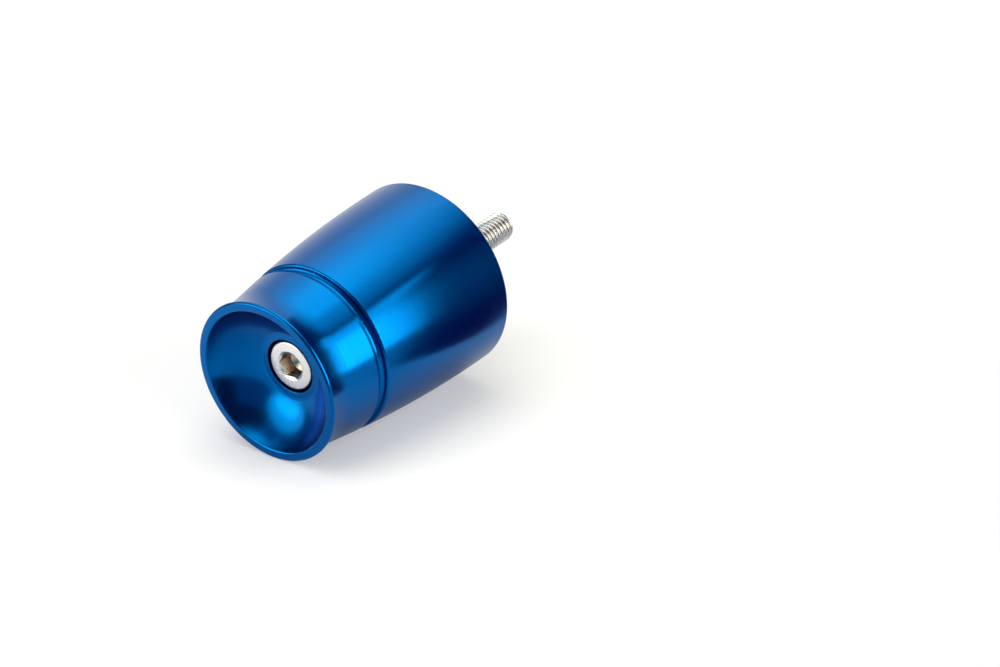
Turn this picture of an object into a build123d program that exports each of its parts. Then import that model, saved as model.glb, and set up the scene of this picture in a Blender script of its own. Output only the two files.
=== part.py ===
"""Bar end weight: a turned weight held on the end of a handlebar by a long socket head cap screw.

Millimetres, +Z up. Both pieces are turned about the X axis. The origin is the centre of the boss's end
face, +X runs into the handlebar, and the dished end of the weight faces -X.
"""

from build123d import *

import os
from math import radians, tan

os.makedirs("parts", exist_ok=True)

# Screw: M6 x 60 with a socket head
thread_diameter = 6.0
thread_length = 18.0
shank_diameter = 5.35
screw_length = 60.0
tip_chamfer = 0.8
head_diameter = 10.0
head_height = 6.0
head_round = 0.35
socket_width = 5.0
socket_depth = 3.0
socket_point_angle = 59.0
socket_mouth_width = 6.1
socket_mouth_angle = 60.0

# Room left round the screw, on each side
thread_clearance = 0.3
head_clearance = 0.5

# Weight: boss and shoulder at the handlebar end
boss_diameter = 20.5
boss_length = 5.6
boss_chamfer = 0.5
shoulder_diameter = 39.0
shoulder_round = 0.4

# Weight: bulged side, whose radius falls from the shoulder to the groove
side_length = 34.06
side_fall = 2.13
side_bulge_radius = 268.0

# Weight: groove, cut below the collar that follows it
groove_width = 2.4
groove_depth = 1.05
groove_root_round = 0.82
groove_edge_round = 0.5

# Weight: straight-tapered collar, a step smaller than the side, then the flare out to the lip
collar_step = 0.33
collar_length = 6.39
collar_taper = 8.3
flare_length = 5.63
flare_rise = 0.35
lip_width = 0.6
lip_round = 0.45

# Weight: bowl-shaped dish in the outer face, from the rim's flat land down to a flat ring round the
# screw's head; the bulge is how far its wall stands off the straight line from the mouth to the ring
rim_land = 1.75
dish_depth = 7.08
dish_bulge = 1.15
dish_floor_ring = 1.4
dish_root_round = 2.0
dish_edge_round = 0.25
counterbore_edge_round = 0.15
head_recess = 0.15

# Radii, from the shoulder to the lip and from the screw out to the dish
side_end_radius = shoulder_diameter / 2 - side_fall
collar_radius = side_end_radius - collar_step
groove_floor_radius = collar_radius - groove_depth
collar_slope = tan(radians(collar_taper))
collar_end_radius = collar_radius - collar_slope * collar_length
lip_radius = collar_end_radius + flare_rise
bore_radius = thread_diameter / 2 + thread_clearance
counterbore_radius = head_diameter / 2 + head_clearance
dish_floor_radius = counterbore_radius + dish_floor_ring
dish_mouth_radius = lip_radius - rim_land

# Stations along the axis, from the boss's end face outwards to the rim
shoulder_x = -boss_length
groove_back_x = shoulder_x - side_length
groove_front_x = groove_back_x - groove_width
collar_end_x = groove_front_x - collar_length
flare_end_x = collar_end_x - flare_length
rim_x = flare_end_x - lip_width
dish_floor_x = rim_x + dish_depth

# Stations of the screw, whose head is a little below the dish's floor
head_x = dish_floor_x + head_recess
seat_x = head_x + head_height
tip_x = seat_x + screw_length
thread_start_x = tip_x - thread_length
socket_floor_x = head_x + socket_depth
socket_point_x = socket_floor_x + socket_width / 2 / tan(radians(socket_point_angle))
socket_mouth_x = head_x + socket_mouth_width / 2 / tan(radians(socket_mouth_angle))


def rings(part, x, radius):
    """The circular edges of a turned part at one station along the axis."""
    circles = part.edges().filter_by(GeomType.CIRCLE)
    at_station = circles.filter_by(lambda edge: abs(edge.arc_center.X - x) < 0.01)
    return at_station.filter_by(lambda edge: abs(edge.radius - radius) < 0.01)


with BuildPart() as weight_body:
    # Outside, as a half profile above the axis
    with BuildSketch(Plane.XY):
        with BuildLine():
            Polyline(
                (0, 0),
                (0, boss_diameter / 2),
                (shoulder_x, boss_diameter / 2),
                (shoulder_x, shoulder_diameter / 2),
            )
            RadiusArc(
                (shoulder_x, shoulder_diameter / 2),
                (groove_back_x, side_end_radius),
                -side_bulge_radius,
            )
            Polyline(
                (groove_back_x, side_end_radius),
                (groove_back_x, groove_floor_radius),
                (groove_front_x, groove_floor_radius),
                (groove_front_x, collar_radius),
                (collar_end_x, collar_end_radius),
            )
            TangentArc(
                (collar_end_x, collar_end_radius),
                (flare_end_x, lip_radius),
                tangent=(-1, -collar_slope),
            )
            Polyline(
                (flare_end_x, lip_radius),
                (rim_x, lip_radius),
                (rim_x, 0),
                (0, 0),
            )
        make_face()
    revolve(axis=Axis.X)

    # Dish, open at the rim
    with BuildSketch(Plane.XY):
        with BuildLine():
            SagittaArc(
                (rim_x, dish_mouth_radius),
                (dish_floor_x, dish_floor_radius),
                dish_bulge,
            )
            Polyline(
                (dish_floor_x, dish_floor_radius),
                (dish_floor_x, 0),
                (rim_x, 0),
                (rim_x, dish_mouth_radius),
            )
        make_face()
    revolve(axis=Axis.X, mode=Mode.SUBTRACT)

    # Hole for the screw, stepped for its head
    with Locations(Plane(origin=(dish_floor_x, 0, 0), z_dir=(-1, 0, 0))):
        CounterBoreHole(bore_radius, counterbore_radius, head_recess + head_height)

    chamfer(rings(weight_body, 0, boss_diameter / 2), boss_chamfer)
    fillet(rings(weight_body, shoulder_x, shoulder_diameter / 2), shoulder_round)
    fillet(rings(weight_body, groove_back_x, side_end_radius), groove_edge_round)
    fillet(rings(weight_body, groove_back_x, groove_floor_radius), groove_root_round)
    fillet(rings(weight_body, groove_front_x, groove_floor_radius), groove_root_round)
    fillet(rings(weight_body, rim_x, lip_radius), lip_round)
    fillet(rings(weight_body, rim_x, dish_mouth_radius), dish_edge_round)
    fillet(rings(weight_body, dish_floor_x, dish_floor_radius), dish_root_round)
    fillet(rings(weight_body, dish_floor_x, counterbore_radius), counterbore_edge_round)
weight_body.part.label = "weight_body"
export_step(weight_body.part, "parts/weight_body.step")

with BuildPart() as cap_screw:
    # Head, plain shank and threaded end, as a half profile above the axis
    with BuildSketch(Plane.XY):
        with BuildLine():
            Polyline(
                (head_x, 0),
                (head_x, head_diameter / 2),
                (seat_x, head_diameter / 2),
                (seat_x, shank_diameter / 2),
                (thread_start_x, shank_diameter / 2),
                (thread_start_x, thread_diameter / 2),
                (tip_x, thread_diameter / 2),
                (tip_x, 0),
                close=True,
            )
        make_face()
    revolve(axis=Axis.X)
    chamfer(rings(cap_screw, tip_x, thread_diameter / 2), tip_chamfer)
    fillet(rings(cap_screw, head_x, head_diameter / 2), head_round)

    # Hexagon socket with two corners level, a drilled point and a bevelled mouth
    head_face = Plane(origin=(head_x, 0, 0), x_dir=(0, 1, 0), z_dir=(-1, 0, 0))
    with BuildSketch(head_face):
        RegularPolygon(radius=socket_width / 2, side_count=6, major_radius=False)
    extrude(amount=-socket_depth, mode=Mode.SUBTRACT)
    with BuildSketch(Plane.XY):
        with BuildLine():
            Polyline(
                (socket_floor_x, 0),
                (socket_floor_x, socket_width / 2),
                (socket_point_x, 0),
                close=True,
            )
            Polyline(
                (head_x, 0),
                (head_x, socket_mouth_width / 2),
                (socket_mouth_x, 0),
                close=True,
            )
        make_face()
    revolve(axis=Axis.X, mode=Mode.SUBTRACT)
cap_screw.part.label = "cap_screw"
export_step(cap_screw.part, "parts/cap_screw.step")
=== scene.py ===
"""Looks of the bar end weight: anodised weight, stainless cap screw, studio and camera.

Metres, +Z up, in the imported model's own frame: both pieces are turned about the X axis, the
handlebar is towards +X and the dished end towards -X.
"""

from math import atan2, cos, pi, radians, sin, tan

import bmesh
import bpy
from mathutils import Matrix, Quaternion, Vector


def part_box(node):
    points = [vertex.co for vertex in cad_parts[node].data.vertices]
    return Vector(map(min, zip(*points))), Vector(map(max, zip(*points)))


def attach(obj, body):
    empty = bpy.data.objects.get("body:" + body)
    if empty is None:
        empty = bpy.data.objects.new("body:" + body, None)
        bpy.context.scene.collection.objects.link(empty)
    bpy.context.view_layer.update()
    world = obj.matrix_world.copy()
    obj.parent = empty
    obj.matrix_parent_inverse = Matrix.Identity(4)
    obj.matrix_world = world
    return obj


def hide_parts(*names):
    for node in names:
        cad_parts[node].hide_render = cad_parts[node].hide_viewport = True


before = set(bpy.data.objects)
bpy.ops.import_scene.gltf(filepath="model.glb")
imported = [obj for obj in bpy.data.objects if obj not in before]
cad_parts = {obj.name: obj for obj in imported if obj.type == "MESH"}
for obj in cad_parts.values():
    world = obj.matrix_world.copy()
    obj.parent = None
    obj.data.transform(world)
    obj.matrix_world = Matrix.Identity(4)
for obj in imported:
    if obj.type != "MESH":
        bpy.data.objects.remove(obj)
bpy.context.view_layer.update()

MM = 0.001
MICRON = 0.000001

# Screw: M6 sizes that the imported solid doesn't give
PITCH = 1.0 * MM
CREST_RADIUS = 3.0 * MM
THREAD_DEPTH = 0.6134 * PITCH
CREST_SHARE = 1 / 8
ROOT_SHARE = 1 / 4
SHANK_RADIUS = 2.675 * MM
THREAD_LENGTH = 18.0 * MM
TIP_CHAMFER = 0.8 * MM
HEAD_HEIGHT = 6.0 * MM
HEAD_ROUND = 0.35 * MM
SOCKET_WIDTH = 5.0 * MM
SOCKET_DEPTH = 3.0 * MM
SOCKET_POINT_ANGLE = radians(59)
MOUTH_RADIUS = 3.05 * MM
MOUTH_ANGLE = radians(60)

# Screw: fineness of its mesh
COLUMNS = 120
ROWS_PER_TURN = 16
POINT_STEPS = 4
ROUND_STEPS = 6
WELD_DISTANCE = 0.5 * MICRON
SHARP_ANGLE = radians(25)

# Anodised aluminium: noise in features a metre, bump in metres
ANODISED_COLOURS = (0.0001, 0.095, 0.328, 1), (0.0003, 0.103, 0.350, 1)
ANODISED_ROUGHNESS = 0.19, 0.26
ANODISED_EDGE_TINT = (0.95, 0.95, 0.95, 1)
ANODISED_STRETCH = 0.6
ACROSS_LINES = 0.25
ANODISED_LINES, ANODISED_LINE_DEPTH = 5200, 0.6 * MICRON
ANODISED_GRAIN, ANODISED_GRAIN_DEPTH = 9000, 0.4 * MICRON
ANODISED_SHADE = 70

# Stainless steel, with painted shade down its socket and in its thread's roots
STEEL_COLOURS = (0.70, 0.685, 0.67, 1), (0.88, 0.865, 0.85, 1)
SOCKET_PAINTED_SHADE = (0.56, 0.45, 0.385, 1)
ROOT_PAINTED_SHADE = (0.12, 0.095, 0.085, 1)
STEEL_ROUGHNESS = 0.22, 0.34
STEEL_LINES, STEEL_LINE_DEPTH = 7000, 1.0 * MICRON
STEEL_GRAIN, STEEL_GRAIN_DEPTH = 6000, 2.0 * MICRON
SOCKET_SHADE_FADE = 0.1 * SOCKET_DEPTH, 0.5 * SOCKET_DEPTH
ROOT_SHADE_FADE = 0.25 * PITCH, 0.5 * PITCH

# Where the weight rests: how far its lip reaches from the rim, and where its belly starts
LIP_REACH = 2 * MM
BELLY_START = 10 * MM

# Floor: its colour, and in reflections painted shaded and lit ones, lit to the left and the back
FLOOR_HALF = 1.5
FLOOR_COLOUR = (0.88, 0.88, 0.95, 1)
FLOOR_SHADED = (0.53, 0.535, 0.62, 1)
FLOOR_LIT = (0.90, 0.905, 1.0, 1)
LIT_TO_LEFT = -0.01, 0.03
LIT_TO_BACK, BACK_LEVEL = (-0.05, -0.025), 0.6
FLOOR_ROUGHNESS = 0.75
FLOOR_SPECULAR = 0.2
FLOOR_GRAIN, FLOOR_GRAIN_DEPTH = 900, 4.0 * MICRON

# Floor: share of plain white near the part, and the distances between which it rises to 1
WHITE_NEAR = 0.29
WHITE_RISE = 0.06, 0.13

# World: level of its light on everything that isn't a mirror
WORLD_FILL = 0.25

# Lamps: a little warm, and a cool one for the floor alone, which keeps its white neutral
LAMP_COLOUR = (1.0, 0.985, 0.80)
WARM_COLOUR = (1.0, 0.985, 0.74)
COOL_COLOUR = (0.98, 1.0, 1.22)
LEVEL_POWER = 4

# Cards and drum, which only reflections see
NAVY = (0.0, 0.025, 0.18)
SLATE = (0.05, 0.25, 0.38)
DRUM_NAVY = (0.0, 0.004, 0.12)
CARD_STEPS = 16
CARD_DISTANCE = 0.42
CAMERA_CARD = (0.105, 0.0004), (CARD_DISTANCE, 0.0004), (CARD_DISTANCE, 0.25)
DRUM_SIDES = 64

# Camera, at the photograph's viewing angle
CAMERA_PLACE = Vector((-0.4357, -0.3708, 0.3085))
CAMERA_AIM = Vector((0.0004, -0.0120, -0.0128))
CAMERA_ROLL = radians(-4.0)
CAMERA_LENS = 118.58
CAMERA_CLIP = 0.01, 10
SENSOR_WIDTH = 36.0


def add_node(tree, kind, inputs=None, **settings):
    """A shader node; each input is a plain value, or another node's output to link to it."""
    made = tree.nodes.new(kind)
    for name, value in settings.items():
        setattr(made, name, value)
    for name, value in (inputs or {}).items():
        if isinstance(value, bpy.types.NodeSocket):
            tree.links.new(value, made.inputs[name])
        else:
            made.inputs[name].default_value = value
    return made


def new_material(name):
    """An empty node material: its tree and its output's surface socket."""
    material = bpy.data.materials.new(name)
    material.use_nodes = True
    tree = material.node_tree
    tree.nodes.clear()
    output = tree.nodes.new("ShaderNodeOutputMaterial")
    return material, tree, output.inputs["Surface"]


def calculate(tree, operation, first, second):
    """Result of one product or comparison of two values."""
    made = add_node(tree, "ShaderNodeMath", {0: first, 1: second}, operation=operation)
    return made.outputs["Value"]


def map_range(tree, value, span, low=0.0, high=1.0, interpolation="LINEAR"):
    """The value's way through a span, from low at its start to high at its end."""
    inputs = {
        "Value": value,
        "From Min": span[0],
        "From Max": span[1],
        "To Min": low,
        "To Max": high,
    }
    made = add_node(tree, "ShaderNodeMapRange", inputs, interpolation_type=interpolation)
    return made.outputs["Result"]


def mix_colours(tree, share, first, second):
    """The first colour where the share is 0, and the second where it is 1."""
    inputs = {"Factor": share, "A": first, "B": second}
    made = add_node(tree, "ShaderNodeMix", inputs, data_type="RGBA")
    return next(s for s in made.outputs if s.type == "RGBA" and s.enabled)


def separate(tree, vector):
    """The X, Y and Z of a vector."""
    return add_node(tree, "ShaderNodeSeparateXYZ", {"Vector": vector}).outputs


def length(tree, vector):
    """The length of a vector."""
    made = add_node(tree, "ShaderNodeVectorMath", {0: vector}, operation="LENGTH")
    return made.outputs["Value"]


def object_point(tree):
    """The shaded point in the object's own coordinates."""
    return add_node(tree, "ShaderNodeTexCoord").outputs["Object"]


def turned_coordinates(tree):
    """The point itself, and the point turned about the X axis into a half plane: (x, radius, 0)."""
    point = object_point(tree)
    apart = separate(tree, point)
    across = add_node(tree, "ShaderNodeCombineXYZ", {"Y": apart["Y"], "Z": apart["Z"]})
    radius = length(tree, across.outputs["Vector"])
    turned = add_node(tree, "ShaderNodeCombineXYZ", {"X": apart["X"], "Y": radius})
    return point, turned.outputs["Vector"]


def noise(tree, vector, scale, detail):
    """Noise between 0 and 1; scale is in features a metre."""
    inputs = {"Vector": vector, "Scale": scale, "Detail": detail, "Roughness": 0.5}
    return add_node(tree, "ShaderNodeTexNoise", inputs).outputs["Fac"]


def spread(tree, value, low, high):
    """Noise, which stays mostly between 0.25 and 0.75, spread from low to high."""
    return map_range(tree, value, (0.25, 0.75), low, high)


def bump(tree, height, depth, below=None):
    """Bump of a real depth in metres, on top of another bump."""
    inputs = {"Height": height, "Distance": depth, "Strength": 1.0}
    if below is not None:
        inputs["Normal"] = below
    return add_node(tree, "ShaderNodeBump", inputs).outputs["Normal"]


def anodised_material():
    """Blue anodised aluminium, whose fine turning lines stretch its reflections across them."""
    material, tree, surface = new_material("blue_anodised")
    point, turned = turned_coordinates(tree)
    lines = noise(tree, turned, ANODISED_LINES, detail=4)
    grain = noise(tree, point, ANODISED_GRAIN, detail=2)
    shade = noise(tree, point, ANODISED_SHADE, detail=2)
    around = add_node(tree, "ShaderNodeTangent", direction_type="RADIAL", axis="X")
    line_bump = bump(tree, lines, ANODISED_LINE_DEPTH)
    shader = add_node(
        tree,
        "ShaderNodeBsdfPrincipled",
        {
            "Base Color": mix_colours(tree, spread(tree, shade, 0, 1), *ANODISED_COLOURS),
            "Metallic": 1.0,
            "Roughness": spread(tree, lines, *ANODISED_ROUGHNESS),
            "Specular Tint": ANODISED_EDGE_TINT,
            "Anisotropic": ANODISED_STRETCH,
            "Anisotropic Rotation": ACROSS_LINES,
            "Tangent": around.outputs["Tangent"],
            "Normal": bump(tree, grain, ANODISED_GRAIN_DEPTH, line_bump),
        },
    )
    tree.links.new(shader.outputs["BSDF"], surface)
    return material


def socket_shade_share(tree, x, radius, head_x):
    """Painted shade: 1 down the broached socket, 0 elsewhere, starting softly below its mouth."""
    start, end = SOCKET_SHADE_FADE
    down = map_range(tree, x, (head_x + start, head_x + end))
    in_head = calculate(tree, "LESS_THAN", x, head_x + HEAD_HEIGHT)
    inside = calculate(tree, "LESS_THAN", radius, MOUTH_RADIUS)
    in_socket = calculate(tree, "MULTIPLY", in_head, inside)
    return calculate(tree, "MULTIPLY", in_socket, down)


def root_shade_share(tree, x, radius, head_x, tip_x):
    """Painted shade: 1 in the thread's roots and 0 on its crests, the tip and the head."""
    start, end = ROOT_SHADE_FADE
    below_crest = map_range(tree, radius, (CREST_RADIUS - start, CREST_RADIUS - end))
    past_head = calculate(tree, "GREATER_THAN", x, head_x + HEAD_HEIGHT)
    before_tip = calculate(tree, "LESS_THAN", x, tip_x - TIP_CHAMFER / 2)
    on_thread = calculate(tree, "MULTIPLY", past_head, before_tip)
    return calculate(tree, "MULTIPLY", on_thread, below_crest)


def stainless_material(head_x, tip_x):
    """Bare stainless steel; painted shade browns the socket's depths and darkens thread roots."""
    material, tree, surface = new_material("stainless")
    point, turned = turned_coordinates(tree)
    lines = noise(tree, turned, STEEL_LINES, detail=4)
    grain = noise(tree, point, STEEL_GRAIN, detail=3)
    apart = separate(tree, turned)
    x, radius = apart["X"], apart["Y"]
    in_socket = socket_shade_share(tree, x, radius, head_x)
    in_root_shade = root_shade_share(tree, x, radius, head_x, tip_x)
    bare = mix_colours(tree, spread(tree, grain, 0, 1), *STEEL_COLOURS)
    # Painted shade: browner down the socket, and dark in the thread's roots
    socket_shaded = mix_colours(tree, in_socket, bare, SOCKET_PAINTED_SHADE)
    line_bump = bump(tree, lines, STEEL_LINE_DEPTH)
    shader = add_node(
        tree,
        "ShaderNodeBsdfPrincipled",
        {
            "Base Color": mix_colours(tree, in_root_shade, socket_shaded, ROOT_PAINTED_SHADE),
            "Metallic": 1.0,
            "Roughness": spread(tree, grain, *STEEL_ROUGHNESS),
            "Normal": bump(tree, grain, STEEL_GRAIN_DEPTH, line_bump),
        },
    )
    tree.links.new(shader.outputs["BSDF"], surface)
    return material


def circle(x, radius):
    """One loop round the X axis, as a function of the angle."""
    return lambda angle: (x, radius)


def hexagon_radius(angle, width):
    """Distance from a hexagon's centre to its side, with a corner at angle 0."""
    sixth = pi / 3
    return width / 2 / cos((angle % sixth) - sixth / 2)


def thread_height(share):
    """Height of the thread's form, from 0 to 1, at a share of one pitch from the crest's middle."""
    away = abs((share + 0.5) % 1.0 - 0.5)
    flank = (1 - CREST_SHARE - ROOT_SHARE) / 2
    return min(1.0, max(0.0, 1 - (away - CREST_SHARE / 2) / flank))


def socket_point_x(head_x):
    """Where the socket's drilled point ends."""
    return head_x + SOCKET_DEPTH + SOCKET_WIDTH / 2 / tan(SOCKET_POINT_ANGLE)


def screw_loops(head_x, head_radius):
    """Loops from the socket's drilled point out over the head and back in to the shank."""
    floor_x = head_x + SOCKET_DEPTH
    point_depth = socket_point_x(head_x) - floor_x
    seat_x = head_x + HEAD_HEIGHT
    loops = []
    for k in range(1, POINT_STEPS + 1):
        out = k / POINT_STEPS
        loops.append(circle(floor_x + point_depth * (1 - out), SOCKET_WIDTH / 2 * out))

    def socket_floor(angle):
        return floor_x, hexagon_radius(angle, SOCKET_WIDTH)

    def socket_mouth(angle):
        radius = hexagon_radius(angle, SOCKET_WIDTH)
        return head_x + (MOUTH_RADIUS - radius) / tan(MOUTH_ANGLE), radius

    loops += [socket_floor, socket_mouth, circle(head_x, MOUTH_RADIUS)]
    for k in range(ROUND_STEPS + 1):
        turn = k / ROUND_STEPS * pi / 2
        inset = HEAD_ROUND * (1 - sin(turn))
        loops.append(circle(head_x + HEAD_ROUND * (1 - cos(turn)), head_radius - inset))
    return loops + [circle(seat_x, head_radius), circle(seat_x, SHANK_RADIUS)]


def thread_point(angle, row, start_x, tip_x):
    """Place on the thread: each row is a helix, held between the thread's two ends."""
    x = start_x + PITCH * ((row / ROWS_PER_TURN - 1) + angle / (2 * pi))
    x = min(max(x, start_x), tip_x)
    share = (x - start_x) / PITCH - angle / (2 * pi)
    radius = CREST_RADIUS - THREAD_DEPTH * (1 - thread_height(share))
    run_out = min(1.0, (x - start_x) / PITCH)
    radius = SHANK_RADIUS + (radius - SHANK_RADIUS) * run_out
    return x, min(radius, CREST_RADIUS - TIP_CHAMFER + (tip_x - x))


def join_loops(mesh, lower, upper):
    """A closed band of faces between two loops."""
    for k in range(COLUMNS):
        after = (k + 1) % COLUMNS
        mesh.faces.new((lower[k], lower[after], upper[after], upper[k]))


def join_helix(mesh, helix):
    """Faces between the thread's rows; past the seam, each row goes on as the one a turn later."""
    for row, (lower, upper) in enumerate(zip(helix, helix[1:])):
        for k in range(COLUMNS - 1):
            mesh.faces.new((lower[k], lower[k + 1], upper[k + 1], upper[k]))
        later = row + ROWS_PER_TURN
        if later + 1 < len(helix):
            mesh.faces.new((lower[-1], helix[later][0], helix[later + 1][0], upper[-1]))


def close_loop(mesh, x, loop):
    """A fan of faces from a point on the axis to a loop."""
    centre = mesh.verts.new((x, 0, 0))
    for k in range(COLUMNS):
        mesh.faces.new((centre, loop[k], loop[(k + 1) % COLUMNS]))


def build_screw():
    """The cap screw as one closed mesh, with its hexagon socket and its thread."""
    low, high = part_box("cap_screw")
    head_x, tip_x, head_radius = low.x, high.x, high.y
    start_x = tip_x - THREAD_LENGTH
    row_count = int((THREAD_LENGTH / PITCH + 2) * ROWS_PER_TURN)
    angles = [2 * pi * k / COLUMNS for k in range(COLUMNS)]
    mesh = bmesh.new()

    def vertex(angle, place):
        x, radius = place
        return mesh.verts.new((x, radius * cos(angle), radius * sin(angle)))

    rows = [[vertex(a, loop(a)) for a in angles] for loop in screw_loops(head_x, head_radius)]
    helix = [
        [vertex(a, thread_point(a, row, start_x, tip_x)) for a in angles]
        for row in range(row_count)
    ]
    for lower, upper in zip(rows, rows[1:]):
        join_loops(mesh, lower, upper)
    join_helix(mesh, helix)
    join_loops(mesh, rows[-1], helix[0])
    close_loop(mesh, socket_point_x(head_x), rows[0])
    close_loop(mesh, tip_x, helix[-1])
    bmesh.ops.remove_doubles(mesh, verts=mesh.verts, dist=WELD_DISTANCE)
    bmesh.ops.recalc_face_normals(mesh, faces=mesh.faces)
    data = bpy.data.meshes.new("cap_screw_threaded")
    mesh.to_mesh(data)
    mesh.free()
    data.shade_smooth()
    data.set_sharp_from_angle(angle=SHARP_ANGLE)
    data.materials.append(stainless_material(head_x, tip_x))
    piece = bpy.data.objects.new("cap_screw_threaded", data)
    bpy.context.scene.collection.objects.link(piece)
    return piece


def resting_floor(node):
    """The floor under the lying weight, which touches its lip and belly: a point and a normal."""
    points = [(v.co.x, Vector((v.co.y, v.co.z)).length) for v in node.data.vertices]
    rim_x = min(x for x, radius in points)
    lip = [(x, radius) for x, radius in points if x < rim_x + LIP_REACH]
    lip_x, lip_radius = max(lip, key=lambda point: point[1])
    belly = [(x, radius) for x, radius in points if x > lip_x + BELLY_START]
    slope = max((radius - lip_radius) / (x - lip_x) for x, radius in belly)
    return Vector((lip_x, 0, -lip_radius)), Vector((slope, 0, 1)).normalized()


def floor_white_share(tree, point, camera, glossy):
    """Share of plain white: for the camera some of it near the part, and all of it far off."""
    near = calculate(tree, "MULTIPLY", camera, WHITE_NEAR)
    far = map_range(tree, length(tree, point), WHITE_RISE, near, 1.0, "SMOOTHSTEP")
    seen = calculate(tree, "MAXIMUM", camera, glossy)
    return calculate(tree, "MULTIPLY", far, seen)


def floor_material():
    """Pale studio floor: white far off, and pale with the part's own shadow near it."""
    material, tree, surface = new_material("studio_floor")
    point = object_point(tree)
    path = add_node(tree, "ShaderNodeLightPath")
    camera, glossy = path.outputs["Is Camera Ray"], path.outputs["Is Glossy Ray"]
    grain = noise(tree, point, FLOOR_GRAIN, detail=2)
    apart = separate(tree, point)
    # Painted shade and light: reflections see a darker floor, lighter to the left and the back
    to_left = map_range(tree, apart["Y"], LIT_TO_LEFT)
    to_back = map_range(tree, apart["X"], LIT_TO_BACK, high=BACK_LEVEL)
    lit = calculate(tree, "MAXIMUM", to_left, to_back)
    painted_floor_reflection = mix_colours(tree, lit, FLOOR_SHADED, FLOOR_LIT)
    paper = add_node(
        tree,
        "ShaderNodeBsdfPrincipled",
        {
            "Base Color": mix_colours(tree, glossy, FLOOR_COLOUR, painted_floor_reflection),
            "Roughness": FLOOR_ROUGHNESS,
            "Specular IOR Level": FLOOR_SPECULAR,
            "Normal": bump(tree, grain, FLOOR_GRAIN_DEPTH),
        },
    )
    white = add_node(tree, "ShaderNodeEmission", {"Color": (1, 1, 1, 1), "Strength": 1.0})
    share = floor_white_share(tree, point, camera, glossy)
    mixed = add_node(
        tree,
        "ShaderNodeMixShader",
        {0: share, 1: paper.outputs["BSDF"], 2: white.outputs["Emission"]},
    )
    tree.links.new(mixed.outputs["Shader"], surface)
    return material


def build_floor():
    """A wide pale floor under the part."""
    half = FLOOR_HALF
    corners = [(-half, -half, 0), (half, -half, 0), (half, half, 0), (-half, half, 0)]
    data = bpy.data.meshes.new("floor")
    data.from_pydata(corners, [], [(0, 1, 2, 3)])
    data.materials.append(floor_material())
    floor = bpy.data.objects.new("floor", data)
    floor.matrix_world = Matrix.Translation(below) @ floor_turn.to_matrix().to_4x4()
    bpy.context.scene.collection.objects.link(floor)


def direction(azimuth, elevation):
    """A direction over the floor; azimuth runs from +X towards +Y."""
    a, e = radians(azimuth), radians(elevation)
    return Vector((cos(a) * cos(e), sin(a) * cos(e), sin(e)))


def softbox(name, azimuth, elevation, distance, size, level, colour=LAMP_COLOUR):
    """A rectangular soft light aimed at the part; a level of 1 is the white of the floor."""
    light = bpy.data.lights.new(name, "AREA")
    light.shape = "RECTANGLE"
    light.size, light.size_y = size
    light.energy = LEVEL_POWER * level * light.size * light.size_y
    light.color = colour
    lamp = bpy.data.objects.new(name, light)
    towards = floor_turn @ direction(azimuth, elevation)
    lamp.location = middle + distance * towards
    lamp.rotation_mode = "QUATERNION"
    lamp.rotation_quaternion = towards.to_track_quat("Z", "Y")
    lamp.visible_camera = False
    bpy.context.scene.collection.objects.link(lamp)
    return lamp


def round_softbox(name, azimuth, elevation, distance, size, level):
    """A round or oval soft light, warmer than the others."""
    lamp = softbox(name, azimuth, elevation, distance, size, level, WARM_COLOUR)
    lamp.data.shape = "ELLIPSE"
    lamp.data.energy *= pi / 4


def build_lamps():
    """Soft lights overhead, at the back, on the right and on the left, and one for the floor."""
    round_softbox("overhead_wide", 39, 72, 0.587, (0.762, 0.762), 0.2)
    round_softbox("overhead_middle", 39, 80, 0.562, (0.665, 0.665), 0.4)
    round_softbox("overhead_core", 39, 83, 0.555, (0.506, 0.506), 0.8)
    round_softbox("overhead_heart", 39, 85, 0.55, (0.40, 0.40), 0.5)
    softbox("back_softbox", 42, 47, 0.6, (0.62, 0.22), 0.35)
    softbox("right_top", -66, 63, 0.55, (0.30, 0.20), 0.5)
    softbox("right_softbox", -77, 18, 0.5, (0.70, 0.42), 2.5)
    right_lamp = softbox("right_lamp", -79, 14, 0.45, (0.22, 0.29), 2.9)
    right_lamp.visible_diffuse = False
    round_softbox("left_softbox", 147, 15, 0.38, (0.39, 0.33), 1.7)
    round_softbox("left_lamp", 149, 7, 0.38, (0.22, 0.17), 2.3)
    floor_fill = softbox("floor_fill", 150, 60, 0.6, (0.5, 0.5), 1.1, COOL_COLOUR)
    floor_fill.visible_glossy = False


def stage_piece(name, colour, data):
    """A studio piece of one plain level, which only reflections see."""
    material, tree, surface = new_material(name)
    shader = add_node(tree, "ShaderNodeEmission", {"Color": (*colour, 1), "Strength": 1.0})
    tree.links.new(shader.outputs["Emission"], surface)
    data.materials.append(material)
    piece = bpy.data.objects.new(name, data)
    piece.visible_camera = False
    piece.visible_diffuse = False
    piece.visible_shadow = False
    piece.visible_transmission = False
    bpy.context.scene.collection.objects.link(piece)
    return piece


def card(name, colour, azimuths, profile):
    """A card bent round the part; its profile gives distances and heights over the floor."""
    start, end = azimuths
    points = []
    for k in range(CARD_STEPS + 1):
        out = direction(start + (end - start) * k / CARD_STEPS, 0)
        for distance, height in profile:
            points.append(below + floor_turn @ (distance * out + Vector((0, 0, height))))
    rows = len(profile)
    faces = [
        (rows * k + j, rows * k + rows + j, rows * k + rows + j + 1, rows * k + j + 1)
        for k in range(CARD_STEPS)
        for j in range(rows - 1)
    ]
    data = bpy.data.meshes.new(name)
    data.from_pydata(points, [], faces)
    stage_piece(name, colour, data)


def wall(distance, top, foot=0):
    """The profile of an upright card."""
    return (distance, foot), (distance, top)


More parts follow.
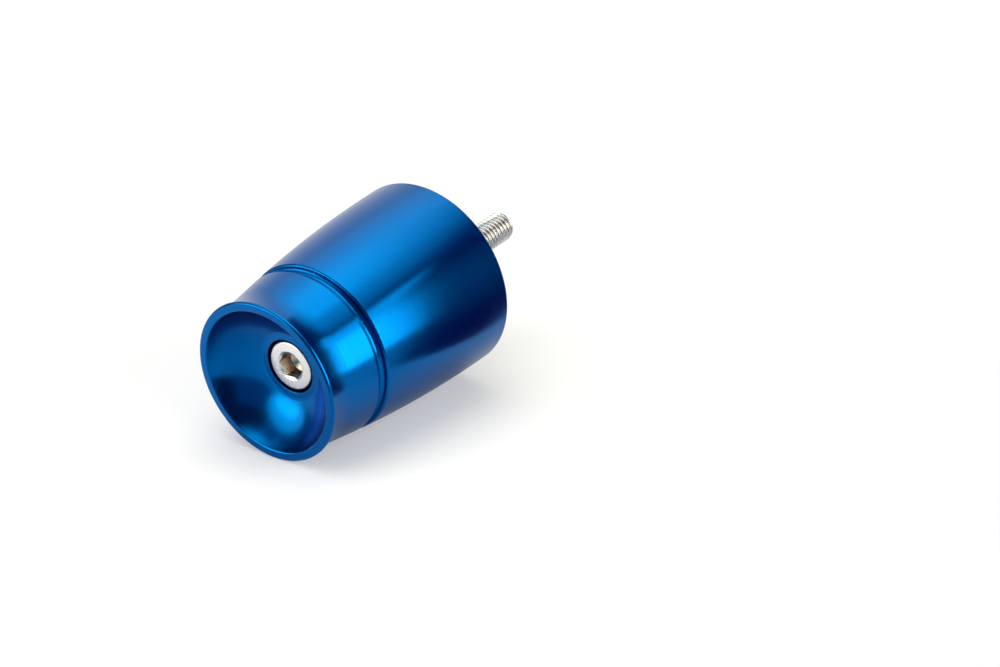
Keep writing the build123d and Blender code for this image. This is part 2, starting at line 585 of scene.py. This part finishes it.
def build_cards():
    """Dark cards on the right and paler ones on the left, and cards below and above the camera."""
    card("side_card", NAVY, (-42, 12), wall(0.4, 0.455))
    card("right_card", NAVY, (-112, -42), wall(0.6, 0.64))
    card("left_card", SLATE, (126, 172), wall(CARD_DISTANCE, 0.80))
    card("middle_left_card", SLATE, (106, 126), wall(CARD_DISTANCE, 0.47))
    card("far_left_card", SLATE, (84, 106), wall(CARD_DISTANCE, 0.35))
    card("camera_card", (0.05, 0.22, 0.34), (172, 222), CAMERA_CARD)
    card("camera_right_card", (0.0, 0.03, 0.08), (222, 262), CAMERA_CARD)
    card("camera_top_card", (0.0, 0.05, 0.10), (172, 262), wall(CARD_DISTANCE, 0.88, 0.25))


def drum(name, colour, place, foot_radius, top_radius, height):
    """A drum standing on the floor beside the part."""
    mesh = bmesh.new()
    bmesh.ops.create_cone(
        mesh,
        cap_ends=True,
        segments=DRUM_SIDES,
        radius1=foot_radius,
        radius2=top_radius,
        depth=height,
    )
    data = bpy.data.meshes.new(name)
    mesh.to_mesh(data)
    mesh.free()
    piece = stage_piece(name, colour, data)
    over = Vector((*place, 0))
    drop = (over - rest_point).dot(floor_normal) / floor_normal.z
    piece.location = over - Vector((0, 0, drop)) + floor_normal * height / 2
    piece.rotation_mode = "QUATERNION"
    piece.rotation_quaternion = floor_turn


def build_world():
    """White for the camera and for reflections, and a little fill for everything else."""
    world = bpy.data.worlds.new("studio")
    bpy.context.scene.world = world
    world.use_nodes = True
    tree = world.node_tree
    tree.nodes.clear()
    rays = add_node(tree, "ShaderNodeLightPath").outputs
    seen = calculate(tree, "MAXIMUM", rays["Is Camera Ray"], rays["Is Glossy Ray"])
    seen = calculate(tree, "MAXIMUM", seen, rays["Is Transmission Ray"])
    strength = map_range(tree, seen, (0, 1), low=WORLD_FILL)
    inputs = {"Color": (1, 1, 1, 1), "Strength": strength}
    background = add_node(tree, "ShaderNodeBackground", inputs)
    output = add_node(tree, "ShaderNodeOutputWorld")
    tree.links.new(background.outputs["Background"], output.inputs["Surface"])


def build_camera():
    """The camera at the photograph's viewing angle."""
    data = bpy.data.cameras.new("camera")
    data.lens = CAMERA_LENS
    data.sensor_width = SENSOR_WIDTH
    data.clip_start, data.clip_end = CAMERA_CLIP
    camera = bpy.data.objects.new("camera", data)
    level = (CAMERA_AIM - CAMERA_PLACE).to_track_quat("-Z", "Y")
    camera.location = CAMERA_PLACE
    camera.rotation_mode = "QUATERNION"
    camera.rotation_quaternion = level @ Quaternion((0, 0, 1), CAMERA_ROLL)
    bpy.context.scene.collection.objects.link(camera)
    bpy.context.scene.camera = camera


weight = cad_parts["weight_body"]
weight.material_slots[0].material = anodised_material()

screw = build_screw()
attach(screw, "root")
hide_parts("cap_screw")

# Where the part lies on the floor, which the studio is built around
rest_point, floor_normal = resting_floor(weight)
floor_turn = Quaternion((0, 1, 0), atan2(floor_normal.x, floor_normal.z))
low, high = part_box("weight_body")
middle = (low + high) / 2
below = middle - floor_normal * (middle - rest_point).dot(floor_normal)

build_floor()
build_world()
build_lamps()
drum("navy_drum", DRUM_NAVY, (0.0050, -0.0489), 0.0197, 0.0164, 0.055)
build_cards()
build_camera()

bpy.context.scene.view_settings.view_transform = "Standard"
